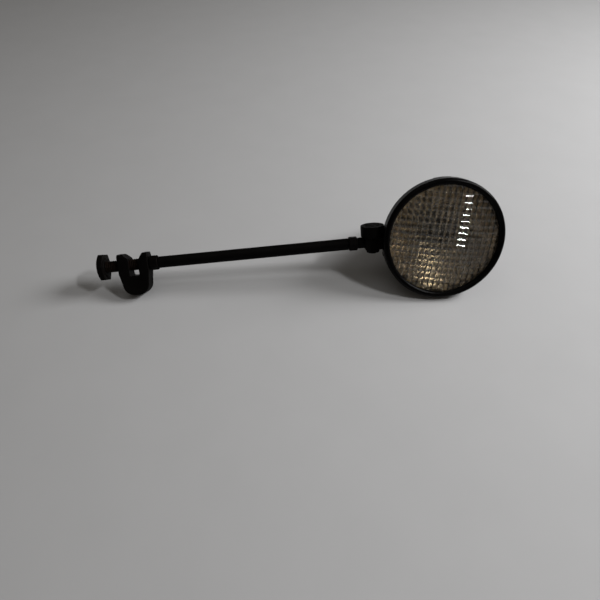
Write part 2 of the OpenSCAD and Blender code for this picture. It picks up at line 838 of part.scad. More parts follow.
module bulb_socket() {
    color("#b08d4f")
    lamp_frame()
        difference() {
            union() {
                ring(socket_r - socket_wall, socket_r, socket_start, socket_end);
                ring(socket_r - socket_wall, mirror_flat_r - flange_in,
                    mirror_flat + mirror_sheet, mirror_flat + mirror_sheet + socket_wall);
            }
            for (a = [0, 180])
                rotate([0, 0, a]) {
                    translate([0, -pin_d / 2 - slot_play, -pin_t - pin_d])
                        cube([socket_d, pin_d + 2 * slot_play, socket_len]);
                    translate([0, -pin_d / 2 - slot_play, -pin_t - pin_d])
                        cube([socket_d, 2 * pin_d, pin_d + 4 * slot_play]);
                }
        }
}

module socket_insulator() {
    color("#3a2a1e")
    lamp_frame()
        ring(stud_d / 2 + seat_gap, socket_r - socket_wall - seat_gap, disc_front, disc_front + disc_t);
}

module contact_stud() {
    color("#b8934f")
    lamp_frame() {
        translate([0, 0, -stud_end])
            cylinder(r = stud_d / 2, h = stud_end - disc_front);
        translate([0, 0, -disc_front])
            cylinder(r = stud_d, h = disc_front - cap_end - button_t - seat_gap);
    }
}

module terminal_nut() {
    color("#b8934f")
    lamp_frame()
        translate([0, 0, -disc_front - disc_t - terminal_t - seat_gap])
            nut(terminal_flats, terminal_t, stud_d / 2 + seat_gap);
}

module bulb_base() {
    color("#b99a5b")
    lamp_frame() {
        translate([0, 0, -cap_end])
            cylinder(r = cap_d / 2, h = cap_len);
        translate([0, 0, -cap_end - button_t])
            cylinder(r = stud_d, h = button_t);
        translate([-pin_reach, 0, -pin_t])
            rotate([0, 90, 0])
                cylinder(r = pin_d / 2, h = 2 * pin_reach);
    }
}

module bulb_glass() {
    color("#8d8f90")
    lamp_frame()
        translate([0, 0, -cap_start])
            rotate_extrude()
                difference() {
                    intersection() {
                        union() {
                            translate([0, globe_reach])
                                circle(r = globe_d / 2);
                            square([cap_d / 2 - neck_in, globe_reach]);
                        }
                        square([globe_d, globe_d + globe_reach]);
                    }
                    translate([0, globe_reach])
                        circle(r = globe_d / 2 - globe_wall);
                    translate([-past, -past])
                        square([cap_d / 2 - neck_in - globe_wall + past, globe_reach + past]);
                }
}

module filament() {
    color("#9a9a96")
    lamp_frame() {
        for (s = [-1, 1])
            translate([s * support_gap / 2, 0, -cap_start])
                cylinder(r = support_d / 2, h = cap_start - focus);
        translate([-support_gap / 2 - support_d, 0, -focus])
            rotate([0, 90, 0])
                cylinder(r = coil_d / 2, h = support_gap + 2 * support_d);
    }
}

module cable_grommet() {
    lip_front = flat_back - bowl_sheet - seat_gap;
    lip_rear = flat_back + seat_gap;
    color("#171717")
    lamp_frame()
        difference() {
            union() {
                ring(0, waist_d / 2 - seat_gap, lip_front - lip_t, lip_rear + lip_t);
                ring(0, lip_d / 2, lip_rear, lip_rear + lip_t);
                ring(0, lip_d / 2 - lip_in, lip_front - lip_t, lip_front);
            }
            translate([0, 0, -flat_back - grommet_len])
                cylinder(r = inlet_d / 2, h = 2 * grommet_len);
        }
}

clamp_body();
screw_shank();
screw_knob();
arm_rod();
clamp_jam_nut();
knuckle_jam_nut();
arm_eye();
pivot_bolt();
pivot_washer();
pivot_nut();
lamp_bracket();
bracket_rivets();
housing_bowl();
retaining_rim();
lens_gasket();
lens();
reflector();
bulb_socket();
socket_insulator();
contact_stud();
terminal_nut();
bulb_base();
bulb_glass();
filament();
cable_grommet();
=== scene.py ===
"""Looks of an old tractor lamp: cast clamp, threaded arm, swivel knuckle and a lamp head with a fluted glass."""

import json
import math

import bmesh
import bpy
from bpy.props import FloatProperty, FloatVectorProperty, IntProperty, PointerProperty
from bpy.types import Operator, Panel, PropertyGroup
from mathutils import Matrix, Vector

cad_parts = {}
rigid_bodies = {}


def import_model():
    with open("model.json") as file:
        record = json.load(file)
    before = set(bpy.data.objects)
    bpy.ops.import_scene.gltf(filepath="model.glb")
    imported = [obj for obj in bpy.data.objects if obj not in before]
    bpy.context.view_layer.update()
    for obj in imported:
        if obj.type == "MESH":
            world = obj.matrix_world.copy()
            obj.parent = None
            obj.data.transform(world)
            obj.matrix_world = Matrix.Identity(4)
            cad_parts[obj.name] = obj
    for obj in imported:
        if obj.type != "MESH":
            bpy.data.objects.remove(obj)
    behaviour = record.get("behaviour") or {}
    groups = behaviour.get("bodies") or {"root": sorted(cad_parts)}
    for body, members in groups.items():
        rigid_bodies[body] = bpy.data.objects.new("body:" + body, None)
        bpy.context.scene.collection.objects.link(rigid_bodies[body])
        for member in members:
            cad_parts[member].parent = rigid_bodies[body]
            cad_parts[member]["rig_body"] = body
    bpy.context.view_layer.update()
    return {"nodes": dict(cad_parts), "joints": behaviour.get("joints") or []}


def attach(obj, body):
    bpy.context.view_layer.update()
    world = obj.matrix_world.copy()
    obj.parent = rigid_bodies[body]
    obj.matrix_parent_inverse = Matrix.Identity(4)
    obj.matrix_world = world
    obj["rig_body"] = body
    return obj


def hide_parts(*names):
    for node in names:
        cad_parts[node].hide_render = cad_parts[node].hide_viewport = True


bl_info = {
    "name": "Tractor Lamp",
    "version": (1, 0, 0),
    "blender": (4, 5, 0),
    "location": "View3D > Sidebar > Lamp",
    "description": "Dresses the parts of an old tractor lamp and sets it on a pale floor",
    "category": "Object",
}

for old in list(bpy.data.objects):
    bpy.data.objects.remove(old)
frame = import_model()

MM = 0.001
JOINTS = {joint["name"]: joint for joint in frame["joints"]}

# Stations along the arm's axis, in mm from the clamp's right face
SCREW_ENDS = (-52.6, -10.9)
STUD_ENDS = {"clamp_stud": (-8.3, 10.5), "knuckle_stud": (219.9, 241.8)}
BAR_ENDS = (9.95, 220.45)
NECK_ENDS = (230.4, 239.0)

# Other lengths, in mm
NECK_BORE, NECK_RADIUS, NECK_EASE, NECK_RUN = 4.8, 6.0, 0.3, 0.6
ROD_CHAMFER = 0.8
BAR_SINK = 0.8
GLASS_OVERLAP = 0.2

# Samples of the turned pieces: round a thin rod, round the lamp head, and along the two bowls
ROD_SIDES = 96
HEAD_SIDES = 192
BOWL_STEPS = 70
MIRROR_STEPS = 64

KNOB_TURN = math.radians(30)
THREAD_DEPTH = 0.5  # of the pitch
THREAD_CREST, THREAD_ROOT = 0.14, 0.86  # shares of a thread's wave where its flank starts and ends
DISC_EDGE = 0.9998  # share of the radius at which a fluted disc ends, so that its last strip keeps a width
FLOOR_REACH = 4.0  # m
SENSOR = 36.0  # mm


# Settings


class LensSettings(PropertyGroup):
    """Sizes of the fluted glass"""

    dome: FloatProperty(name="Dome radius", description="Radius of the curve of the whole glass, mm", default=300.0)
    proud: FloatProperty(name="Proud", description="Middle of the glass in front of the rim, mm", default=1.5)
    thickness: FloatProperty(name="Thickness", description="From a row's crest to a column's crest, mm", default=3.6)
    clear: FloatProperty(name="Clear radius", description="Fluted part of the glass, mm", default=58.2)
    edge: FloatProperty(name="Edge radius", description="Plain edge that the rim holds, mm", default=62.5)
    edge_front: FloatProperty(name="Edge front", description="Depth of the plain edge's front, mm", default=3.6)
    edge_back: FloatProperty(name="Edge back", description="Depth of the plain edge's back, mm", default=6.8)
    row_pitch: FloatProperty(name="Row pitch", description="Spacing of the rows on the front, mm", default=6.6)
    row_radius: FloatProperty(name="Row radius", description="Roundness of the rows' crests, mm", default=5.0)
    row_flank: FloatProperty(
        name="Row flank", description="Slope of the rows' flanks", subtype="ANGLE", default=math.radians(30)
    )
    column_pitch: FloatProperty(name="Column pitch", description="Spacing of the columns behind, mm", default=5.9)
    column_radius: FloatProperty(name="Column radius", description="Roundness of the columns' crests, mm", default=4.4)
    column_flank: FloatProperty(
        name="Column flank", description="Slope of the columns' flanks", subtype="ANGLE", default=math.radians(40)
    )
    turn: FloatProperty(
        name="Turn", description="Flutes turned in the rim", subtype="ANGLE", default=math.radians(-10.5)
    )
    across: IntProperty(name="Across", description="Samples across one flute, an even number", default=20)
    along: IntProperty(name="Along", description="Samples along the flutes", default=56)


class HeadSettings(PropertyGroup):
    """Sizes of the bucket, the reflector and the place of the lamp's axis"""

    axis_off: FloatProperty(name="Axis", description="Lamp's axis from the knuckle's axis, mm", default=73.197)
    arm_back: FloatProperty(name="Arm depth", description="Arm's axis behind the rim's front, mm", default=23.4)
    bowl_radius: FloatProperty(name="Bucket radius", description="Bucket at the rim, mm", default=62.0)
    bowl_front: FloatProperty(name="Bucket front", description="Depth where its curve starts, mm", default=13.0)
    bowl_depth: FloatProperty(name="Bucket depth", description="Depth of its long curve, mm", default=109.0)
    bowl_power: FloatProperty(name="Bucket power", description="Power of its long curve", default=0.7)
    nose: FloatProperty(name="Nose", description="Radius where the round nose starts, mm", default=30.0)
    sheet: FloatProperty(name="Sheet", description="Thickness of the bucket's sheet, mm", default=0.9)
    collar: FloatProperty(name="Collar", description="Radius of the collar in the rim, mm", default=63.5)
    collar_front: FloatProperty(name="Collar front", description="Depth of the collar's flange, mm", default=9.7)
    collar_back: FloatProperty(name="Collar back", description="Depth of the collar's end, mm", default=13.5)
    flange: FloatProperty(name="Flange", description="Width of the collar's flange, mm", default=7.0)
    flat: FloatProperty(name="Flat", description="Radius of the flat round the cable inlet, mm", default=9.5)
    waist: FloatProperty(name="Inlet hole", description="Radius of the hole for the grommet, mm", default=5.5)
    mirror_front: FloatProperty(name="Mirror front", description="Depth of the reflector's mouth, mm", default=9.0)
    mirror_radius: FloatProperty(name="Mirror radius", description="Radius of the reflector's mouth, mm", default=55.2)
    mirror_depth: FloatProperty(name="Mirror depth", description="Depth of the reflector's curve, mm", default=44.0)
    mirror_flat: FloatProperty(name="Mirror flat", description="Radius of its flat bottom, mm", default=13.0)
    mirror_hole: FloatProperty(name="Mirror hole", description="Radius of the hole for the socket, mm", default=9.05)
    mirror_sheet: FloatProperty(name="Mirror sheet", description="Thickness of the reflector, mm", default=0.7)


class ThreadSettings(PropertyGroup):
    """Threads of the clamp's screw and of the arm's two ends"""

    screw: FloatProperty(name="Screw radius", description="Outside of the screw's thread, mm", default=6.35)
    screw_pitch: FloatProperty(name="Screw pitch", description="Distance between its turns, mm", default=1.954)
    stud: FloatProperty(name="Stud radius", description="Outside of the threads on the arm's ends, mm", default=4.75)
    stud_pitch: FloatProperty(name="Stud pitch", description="Distance between their turns, mm", default=1.588)
    bar: FloatProperty(name="Bar radius", description="Arm between its lock nuts, mm", default=6.35)
    around: IntProperty(name="Around", description="Samples round a thread", default=44)
    step: FloatProperty(name="Step", description="Length of a sample along a thread, mm", default=0.2)


class StageSettings(PropertyGroup):
    """Camera and lights"""

    eye: FloatVectorProperty(
        name="Camera", description="Place of the camera", unit="LENGTH", default=(-0.02498, -0.42166, 0.4094)
    )
    pitch: FloatProperty(
        name="Pitch", description="Camera up from straight down", subtype="ANGLE", default=math.radians(42.3)
    )
    yaw: FloatProperty(name="Yaw", description="Camera to the left", subtype="ANGLE", default=math.radians(-3.8))
    focal: FloatProperty(name="Focal length", description="On a 36 mm sensor, mm", default=29.7)
    key_power: FloatProperty(
        name="Key", description="Power of the small light at the front right", unit="POWER", default=7.0
    )
    side_power: FloatProperty(
        name="Side", description="Power of the soft light at the right", unit="POWER", default=24.5
    )
    fill_power: FloatProperty(name="Fill", description="Power of the large soft light", unit="POWER", default=1.5)


# Shared helpers


def linear(colour):
    """Linear colour of an sRGB hex string."""
    parts = [int(colour[i : i + 2], 16) / 255 for i in (1, 3, 5)]
    return tuple(c / 12.92 if c <= 0.04045 else ((c + 0.055) / 1.055) ** 2.4 for c in parts) + (1.0,)


def per_mm(size):
    """Texture scale whose features are about this many mm."""
    return 1 / (size * MM)


def fill(tree, node, inputs):
    """Links a node's inputs to outputs, or sets them to constants."""
    for key, value in inputs.items():
        if isinstance(value, bpy.types.NodeSocket):
            tree.links.new(value, node.inputs[key])
        else:
            node.inputs[key].default_value = value


def add(tree, kind, inputs=None, **settings):
    """Adds a node, sets it up and fills its inputs."""
    node = tree.nodes.new(kind)
    for key, value in settings.items():
        setattr(node, key, value)
    fill(tree, node, inputs or {})
    return node


def calc(tree, operation, *values):
    """Output of a Math node."""
    return add(tree, "ShaderNodeMath", dict(enumerate(values)), operation=operation).outputs[0]


def lamp_axes():
    """Matrix from the lamp's own axes, in mm, to the row: its axis is Z and the front of the rim is at zero."""
    head = bpy.context.scene.lamp_head
    swing = JOINTS["lamp_swing"]
    along = Vector(JOINTS["knuckle_turn"]["axis"]).normalized()
    up = Vector(swing["axis"]).normalized()
    out = along.cross(up)
    origin = Vector(swing["pos_m"]) + (along * head.axis_off + out * head.arm_back) * MM
    turn = Matrix((along, up, out)).transposed().to_4x4()
    return Matrix.Translation(origin) @ turn @ Matrix.Scale(MM, 4)


def arm_axes():
    """Matrix from the arm's axis as Z, in mm from the clamp's right face, to the row."""
    joint = JOINTS["arm_turn"]
    along = Vector(joint["axis"]).normalized()
    side = Vector((0, 1, 0))
    turn = Matrix((side, along.cross(side), along)).transposed().to_4x4()
    return Matrix.Translation(Vector(joint["pos_m"])) @ turn @ Matrix.Scale(MM, 4)


def make_piece(name, mesh, body, slot, nodes, sharp=35):
    """Makes a mesh a piece of the lamp that rides on a body and stands for CAD nodes."""
    mesh.name = name
    mesh.shade_smooth()
    mesh.set_sharp_from_angle(angle=math.radians(sharp))
    mesh.materials.clear()
    mesh.materials.append(finish(slot))
    piece = bpy.data.objects.new(name, mesh)
    bpy.context.scene.collection.objects.link(piece)
    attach(piece, body)
    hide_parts(*nodes)
    return piece


def mesh_from(bm, name, matrix):
    """Plain mesh from a bmesh in mm, moved to the row."""
    bm.transform(matrix)
    mesh = bpy.data.meshes.new(name)
    bm.to_mesh(mesh)
    bm.free()
    return mesh


def revolve(name, profile, matrix, steps=HEAD_SIDES):
    """Mesh of a closed outline of radius and height, turned round Z."""
    bm = bmesh.new()
    rings = []
    for i in range(steps):
        a = 2 * math.pi * i / steps
        rings.append([bm.verts.new((r * math.cos(a), r * math.sin(a), z)) for r, z in profile])
    count = len(profile)
    for i in range(steps):
        here, there = rings[i], rings[(i + 1) % steps]
        for k in range(count):
            bm.faces.new((here[k], there[k], there[(k + 1) % count], here[(k + 1) % count]))
    bmesh.ops.recalc_face_normals(bm, faces=bm.faces)
    return mesh_from(bm, name, matrix)


def grown(tree, inputs, material):
    """Plain mesh grown by a geometry node tree."""
    carrier = bpy.data.objects.new("carrier", bpy.data.meshes.new("carrier"))
    bpy.context.scene.collection.objects.link(carrier)
    modifier = carrier.modifiers.new("Rule", "NODES")
    modifier.node_group = tree
    values = dict(inputs, Material=material)
    for item in tree.interface.items_tree:
        if item.in_out == "INPUT" and item.name in values:
            modifier[item.identifier] = values[item.name]
    graph = bpy.context.evaluated_depsgraph_get()
    mesh = bpy.data.meshes.new_from_object(carrier.evaluated_get(graph))
    bpy.data.objects.remove(carrier)
    return mesh


def rule_tree(name, inputs):
    """Empty geometry node tree with named inputs."""
    tree = bpy.data.node_groups.new(name, "GeometryNodeTree")
    tree.interface.new_socket("Geometry", in_out="OUTPUT", socket_type="NodeSocketGeometry")
    for label, kind in inputs:
        tree.interface.new_socket(label, in_out="INPUT", socket_type=kind)
    tree.interface.new_socket("Material", in_out="INPUT", socket_type="NodeSocketMaterial")
    return tree, add(tree, "NodeGroupInput").outputs


def close_tree(tree, geometry, entry):
    """Ends a geometry node tree in plain geometry with its material."""
    real = add(tree, "GeometryNodeRealizeInstances", {"Geometry": geometry})
    painted = add(tree, "GeometryNodeSetMaterial", {"Geometry": real.outputs[0], "Material": entry["Material"]})
    add(tree, "NodeGroupOutput", {"Geometry": painted.outputs[0]})
    return tree


def flute_tree():
    """Tree for one side of the glass: round flutes side by side on a shallow dome, cut to a disc."""
    real, whole = "NodeSocketFloat", "NodeSocketInt"
    names = ["Radius", "Pitch", "Step", "Flute Radius", "Knee", "Flank", "Dome Radius", "Crest", "Side"]
    tree, entry = rule_tree("Fluted Disc", [(n, real) for n in names] + [("Across", whole), ("Along", whole)])
    sheet = add(
        tree,
        "GeometryNodeMeshGrid",
        {"Size X": 2.0, "Size Y": 2.0, "Vertices X": entry["Along"], "Vertices Y": entry["Across"]},
    )
    place = add(tree, "ShaderNodeSeparateXYZ", {0: add(tree, "GeometryNodeInputPosition").outputs[0]})
    half = calc(tree, "DIVIDE", calc(tree, "SUBTRACT", entry["Across"], 1.0), 2.0)
    free = calc(tree, "MULTIPLY", calc(tree, "MULTIPLY", place.outputs[1], half), entry["Step"])
    limit = calc(tree, "MULTIPLY", entry["Radius"], DISC_EDGE)
    y = calc(tree, "MAXIMUM", calc(tree, "MINIMUM", free, limit), calc(tree, "MULTIPLY", limit, -1.0))
    room = calc(tree, "SUBTRACT", calc(tree, "POWER", entry["Radius"], 2.0), calc(tree, "MULTIPLY", y, y))
    x = calc(tree, "MULTIPLY", place.outputs[0], calc(tree, "SQRT", room))
    nearest = calc(tree, "MULTIPLY", calc(tree, "ROUND", calc(tree, "DIVIDE", y, entry["Pitch"])), entry["Pitch"])
    off = calc(tree, "ABSOLUTE", calc(tree, "SUBTRACT", y, nearest))
    near = calc(tree, "MINIMUM", off, entry["Knee"])
    flute = calc(tree, "POWER", entry["Flute Radius"], 2.0)
    rise = calc(tree, "SQRT", calc(tree, "SUBTRACT", flute, calc(tree, "MULTIPLY", near, near)))
    fall = calc(tree, "MULTIPLY", calc(tree, "SUBTRACT", off, near), entry["Flank"])
    drop = calc(tree, "ADD", calc(tree, "SUBTRACT", entry["Flute Radius"], rise), fall)
    dip = calc(tree, "MULTIPLY", drop, entry["Side"])
    square = calc(tree, "ADD", calc(tree, "MULTIPLY", x, x), calc(tree, "MULTIPLY", y, y))
    sag = calc(tree, "DIVIDE", square, calc(tree, "MULTIPLY", entry["Dome Radius"], 2.0))
    z = calc(tree, "SUBTRACT", calc(tree, "SUBTRACT", entry["Crest"], sag), dip)
    moved = add(
        tree,
        "GeometryNodeSetPosition",
        {"Geometry": sheet.outputs[0], "Position": add(tree, "ShaderNodeCombineXYZ", {0: x, 1: y, 2: z}).outputs[0]},
    )
    return close_tree(tree, moved.outputs[0], entry)


def thread_tree():
    """Tree for a threaded rod with chamfered ends."""
    real, whole = "NodeSocketFloat", "NodeSocketInt"
    names = ["Length", "Radius", "Pitch", "Depth"]
    tree, entry = rule_tree("Threaded Rod", [(n, real) for n in names] + [("Around", whole), ("Rows", whole)])
    sheet = add(
        tree,
        "GeometryNodeMeshGrid",
        {"Size X": 1.0, "Size Y": 1.0, "Vertices X": entry["Around"], "Vertices Y": entry["Rows"]},
    )
    place = add(tree, "ShaderNodeSeparateXYZ", {0: add(tree, "GeometryNodeInputPosition").outputs[0]})
    z = calc(tree, "MULTIPLY", calc(tree, "ADD", place.outputs[1], 0.5), entry["Length"])
    turn = calc(tree, "SUBTRACT", calc(tree, "DIVIDE", z, entry["Pitch"]), place.outputs[0])
    swing = calc(tree, "ABSOLUTE", calc(tree, "SUBTRACT", calc(tree, "FRACT", turn), 0.5))
    wave = calc(tree, "MULTIPLY", swing, 2.0)
    groove = spread(tree, wave, THREAD_CREST, THREAD_ROOT)
    nearest = calc(tree, "MINIMUM", z, calc(tree, "SUBTRACT", entry["Length"], z))
    chamfer = spread(tree, nearest, 0.0, ROD_CHAMFER, ROD_CHAMFER, 0.0)
    sink = calc(tree, "MAXIMUM", calc(tree, "MULTIPLY", groove, entry["Depth"]), chamfer)
    r = calc(tree, "SUBTRACT", entry["Radius"], sink)
    angle = calc(tree, "MULTIPLY", place.outputs[0], 2 * math.pi)
    x = calc(tree, "MULTIPLY", r, calc(tree, "COSINE", angle))
    y = calc(tree, "MULTIPLY", r, calc(tree, "SINE", angle))
    moved = add(
        tree,
        "GeometryNodeSetPosition",
        {"Geometry": sheet.outputs[0], "Position": add(tree, "ShaderNodeCombineXYZ", {0: x, 1: y, 2: z}).outputs[0]},
    )
    joined = add(tree, "GeometryNodeMergeByDistance", {"Geometry": moved.outputs[0], "Distance": 0.001})
    return close_tree(tree, joined.outputs[0], entry)


def rod(name, start, end, radius, pitch, body, slot, node):
    """Threaded rod along the arm's axis between two stations in mm."""
    size = bpy.context.scene.lamp_thread
    inputs = {
        "Length": end - start,
        "Radius": radius,
        "Pitch": pitch,
        "Depth": pitch * THREAD_DEPTH,
        "Around": size.around,
        "Rows": int((end - start) / size.step),
    }
    mesh = grown(bpy.data.node_groups.get("Threaded Rod") or thread_tree(), inputs, finish(slot))
    bm = bmesh.new()
    bm.from_mesh(mesh)
    bpy.data.meshes.remove(mesh)
    bmesh.ops.holes_fill(bm, edges=[e for e in bm.edges if e.is_boundary])
    bmesh.ops.recalc_face_normals(bm, faces=bm.faces)
    mesh = mesh_from(bm, name, arm_axes() @ Matrix.Translation((0, 0, start)))
    return make_piece(name, mesh, body, slot, [node])


def eased(name, node, slot, voxel, rounds, turn=0.0):
    """Piece with the shape of a CAD node, its edges eased as on a casting or a worn nut, turned about the arm.

    The voxel is in mm, and the rounds are those of the smoothing.
    """
    source = frame["nodes"][node]
    carrier = bpy.data.objects.new("carrier", source.data.copy())
    bpy.context.scene.collection.objects.link(carrier)
    remesh = carrier.modifiers.new("Skin", "REMESH")
    remesh.mode = "VOXEL"
    remesh.voxel_size = voxel * MM
    ease = carrier.modifiers.new("Ease", "SMOOTH")
    ease.factor = 0.5
    ease.iterations = rounds
    graph = bpy.context.evaluated_depsgraph_get()
    mesh = bpy.data.meshes.new_from_object(carrier.evaluated_get(graph))
    bpy.data.objects.remove(carrier)
    if turn:
        mesh.transform(arm_axes() @ Matrix.Rotation(turn, 4, "Z") @ arm_axes().inverted())
    return make_piece(name, mesh, source["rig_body"], slot, [node], sharp=60)


# Finishes


def surface(label):
    """New material: its tree, its shader and its object coordinates."""
    made = bpy.data.materials.new(label)
    made.use_nodes = True
    tree = made.node_tree
    shader = tree.nodes["Principled BSDF"]
    return made, tree, shader, add(tree, "ShaderNodeTexCoord").outputs["Object"]


def noise(tree, place, size, detail=3.0, rough=0.55):
    """Noise with features of a size in mm, from 0 to 1."""
    inputs = {"Vector": place, "Scale": per_mm(size), "Detail": detail, "Roughness": rough}
    return add(tree, "ShaderNodeTexNoise", inputs).outputs["Fac"]


def spread(tree, value, low, high, start=0.0, end=1.0):
    """Maps a stretch of a value to another, held at its ends."""
    return add(tree, "ShaderNodeMapRange", {0: value, 1: low, 2: high, 3: start, 4: end}, clamp=True).outputs[0]


def blend(tree, share, first, second):
    """Colour between two colours; each is a hex string or an output."""
    colours = [linear(c) if isinstance(c, str) else c for c in (first, second)]
    node = add(tree, "ShaderNodeMix", {0: share, 6: colours[0], 7: colours[1]}, data_type="RGBA")
    return node.outputs[2]


def bump(tree, shader, height, depth):
    """Roughens a shader's surface by a height with a depth in mm."""
    node = add(tree, "ShaderNodeBump", {"Height": height, "Distance": depth * MM, "Strength": 1.0})
    tree.links.new(node.outputs[0], shader.inputs["Normal"])


def coat_of_paint(label, colours, rough, wear, grain, gloss):
    """Black paint on metal: cloudy colour, dull patches, rust where it is chipped, and a brushed or cast skin."""
    made, tree, shader, place = surface(label)
    cloud = noise(tree, place, 22)
    paint = blend(tree, spread(tree, cloud, 0.35, 0.65), *colours)
    patch = spread(tree, noise(tree, place, 14, detail=4), 0.52, 0.68)
    chips = spread(tree, noise(tree, place, 1.6, detail=5, rough=0.65), 0.62 - wear, 0.66 - wear)
    chipped = calc(tree, "MULTIPLY", patch, chips)
    rust = blend(tree, noise(tree, place, 0.9), "#1c110b", "#331d12")
    dull = spread(tree, noise(tree, place, 7, detail=4), 0.3, 0.7, *rough)
    look = {
        "Base Color": blend(tree, chipped, paint, rust),
        "Roughness": calc(tree, "MAXIMUM", dull, calc(tree, "MULTIPLY", chipped, 0.85)),
        "Specular IOR Level": gloss,
    }
    fill(tree, shader, look)
    skin = calc(tree, "ADD", noise(tree, place, grain[0]), calc(tree, "MULTIPLY", chipped, -0.6))
    bump(tree, shader, skin, grain[1])
    return made


def worn_steel(label, colours, rough, metal, grain, gloss):
    """Metal gone dark or rusty: two tones in fine patches, and a pitted skin in a third."""
    made, tree, shader, place = surface(label)
    tone = spread(tree, noise(tree, place, 3.2, detail=5, rough=0.65), 0.4, 0.62)
    base = blend(tree, tone, colours[0], colours[1])
    pits = spread(tree, noise(tree, place, 0.9, detail=4, rough=0.7), 0.55, 0.7)
    look = {
        "Base Color": blend(tree, pits, base, colours[2]),
        "Roughness": spread(tree, tone, 0.0, 1.0, *rough),
        "Metallic": metal,
        "Specular IOR Level": gloss,
    }
    fill(tree, shader, look)
    bump(tree, shader, noise(tree, place, grain[0], detail=4), grain[1])
    return made


def pressed_glass():
    """Old pressed glass: brownish, with a film of dirt in patches."""
    made, tree, shader, place = surface("Pressed glass, grimy")
    thickest = 0.05
    film = spread(tree, noise(tree, place, 9, detail=5, rough=0.6), 0.4, 0.75, 0.0, thickest)
    look = {
        "Base Color": blend(tree, film, "#eee6d8", "#4a3a2a"),
        "Transmission Weight": calc(tree, "SUBTRACT", 1.0, film),
        "Roughness": spread(tree, film, 0.0, thickest, 0.0, 0.03),
        "IOR": 1.51,
    }
    fill(tree, shader, look)
    bump(tree, shader, noise(tree, place, 2.5, detail=2), 0.004)
    return made


def bulb_envelope():
    """Thin bulb glass, dark grey, with darker patches."""
    made, tree, shader, place = surface("Blown glass, dark grey")
    dark_patches = spread(tree, noise(tree, place, 8, detail=4), 0.4, 0.75, 0.0, 0.06)
    look = {
        "Base Color": blend(tree, dark_patches, "#4a443e", "#14100d"),
        "Transmission Weight": calc(tree, "SUBTRACT", 1.0, dark_patches),
        "Roughness": spread(tree, dark_patches, 0.0, 1.0, 0.0, 0.2),
        "IOR": 1.12,
    }
    fill(tree, shader, look)
    return made


def spun_aluminium():
    """Spun reflector, dulled and brown in patches, with painted shade darkening its right side."""
    made, tree, shader, place = surface("Spun aluminium, tarnished, shade painted on its right")
    stain = spread(tree, noise(tree, place, 16, detail=5, rough=0.6), 0.4, 0.7)
    specks = spread(tree, noise(tree, place, 1.5, detail=4, rough=0.7), 0.6, 0.7, 0.0, 0.6)
    share = calc(tree, "MAXIMUM", stain, specks)
    # Painted shade: the reflector's right side is darkened by its position across the lamp, standing in for the darker
    # reflection of the room there; it is not tarnish.
    painted_shade_from, painted_shade_to, painted_shade_most = 0.15, 0.2, 0.6
    along = add(tree, "ShaderNodeSeparateXYZ", {0: place}).outputs[0]
    side = spread(tree, along, painted_shade_from, painted_shade_to, 0.0, painted_shade_most)
    metal = blend(tree, share, "#f4ecda", "#dccfb6")
    look = {
        # Tarnished metal in patches, darkened towards the right by the painted shade.
        "Base Color": blend(tree, side, metal, "#6a5a5a"),
        "Roughness": spread(tree, share, 0.0, 1.0, 0.2, 0.34),
        "Metallic": 1.0,
    }
    fill(tree, shader, look)
    bump(tree, shader, noise(tree, place, 4, detail=2), 0.02)
    return made


def plain_body(label, colours, size, rough, grain):
    """Rubber or pressed fibre: two close tones and a fine grain."""
    made, tree, shader, place = surface(label)
    look = {
        "Base Color": blend(tree, noise(tree, place, size, detail=4), *colours),
        "Roughness": spread(tree, noise(tree, place, size * 2), 0.3, 0.7, *rough),
        "Specular IOR Level": 0.3,
    }
    fill(tree, shader, look)
    bump(tree, shader, noise(tree, place, grain[0]), grain[1])
    return made


# Each grain is a size and a depth in mm; each roughness is its least and its most
FINISHES = {
    "black_paint": lambda: coat_of_paint(
        "Brushed black paint, worn",
        colours=("#050404", "#090807"),
        rough=(0.45, 0.65),
        wear=-0.01,
        grain=(1.4, 0.09),
        gloss=0.035,
    ),
    "black_enamel": lambda: coat_of_paint(
        "Black stove enamel, glossy",
        colours=("#040404", "#070606"),
        rough=(0.2, 0.32),
        wear=-0.03,
        grain=(3.0, 0.02),
        gloss=0.045,
    ),
    "dark_steel": lambda: worn_steel(
        "Blackened steel, handled",
        colours=("#060505", "#0a0807", "#140c08"),
        rough=(0.5, 0.7),
        metal=0.1,
        grain=(0.9, 0.05),
        gloss=0.04,
    ),
    "rusty_steel": lambda: worn_steel(
        "Bare steel, rusted",
        colours=("#120b07", "#1b110b", "#080503"),
        rough=(0.6, 0.85),
        metal=0.1,
        grain=(0.7, 0.08),
        gloss=0.08,
    ),
    "black_rubber": lambda: plain_body(
        "Black rubber, aged", colours=("#121212", "#1c1b1a"), size=5, rough=(0.6, 0.8), grain=(0.8, 0.04)
    ),
    "lens_glass": pressed_glass,
    "bulb_glass": bulb_envelope,
    "polished_aluminium": spun_aluminium,
    "brass": lambda: worn_steel(
        "Brass, blackened",
        colours=("#0d0a06", "#080604", "#040302"),
        rough=(0.6, 0.8),
        metal=0.1,
        grain=(1.2, 0.02),
        gloss=0.04,
    ),
    "brown_fibre": lambda: plain_body(
        "Pressed fibre, brown", colours=("#3a2618", "#4a3222"), size=2, rough=(0.6, 0.85), grain=(0.5, 0.04)
    ),
    "filament_wire": lambda: worn_steel(
        "Tungsten wire, drawn",
        colours=("#6d6a66", "#4e4b48", "#33302e"),
        rough=(0.3, 0.5),
        metal=1.0,
        grain=(0.4, 0.01),
        gloss=0.5,
    ),
}
made_finishes = {}


def finish(slot):
    """Material for one of the record's slots, made once."""
    if slot not in made_finishes:
        made_finishes[slot] = FINISHES[slot]()
    return made_finishes[slot]


def keep(node):
    """Shows a CAD node as it is, in its finish."""
    source = frame["nodes"][node]
    slot = source.material_slots[0].material.name.split(".")[0]
    source.material_slots[0].material = finish(slot)


# Pieces


